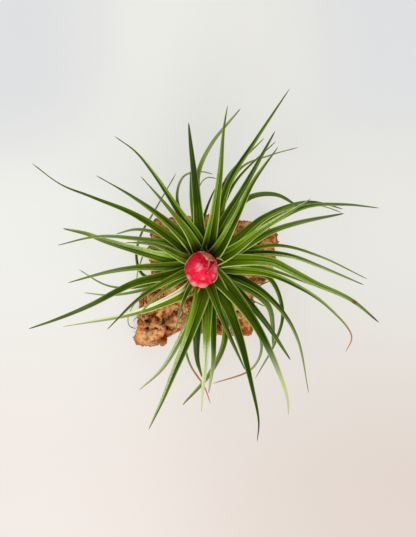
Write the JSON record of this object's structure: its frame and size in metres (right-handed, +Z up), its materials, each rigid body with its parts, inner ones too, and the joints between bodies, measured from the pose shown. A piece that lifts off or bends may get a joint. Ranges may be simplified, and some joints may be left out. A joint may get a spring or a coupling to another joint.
{
  "type": "air plant on cork bark",
  "caption": "Air plant: a rosette of channelled tapering leaves round a pink bracted flower head, sitting on a rough slab of cork bark.",
  "frame": {"origin": "on the cork's flat underside, straight below the plant's stem", "axes": "+Z up out of the flower head, +Y towards the longest pair of upright leaves, +X to the right of them seen from above"},
  "size_m": [0.2299, 0.2263, 0.106],
  "materials": {
    "cork": "rough bark",
    "leaf": "matte, finely scaled",
    "bract": "satin, waxy"
  },
  "bodies": {
    "root": {"cork_bark": "cork", "leaf_rosette": "leaf", "flower_head": "bract"}
  },
  "joints": []
}
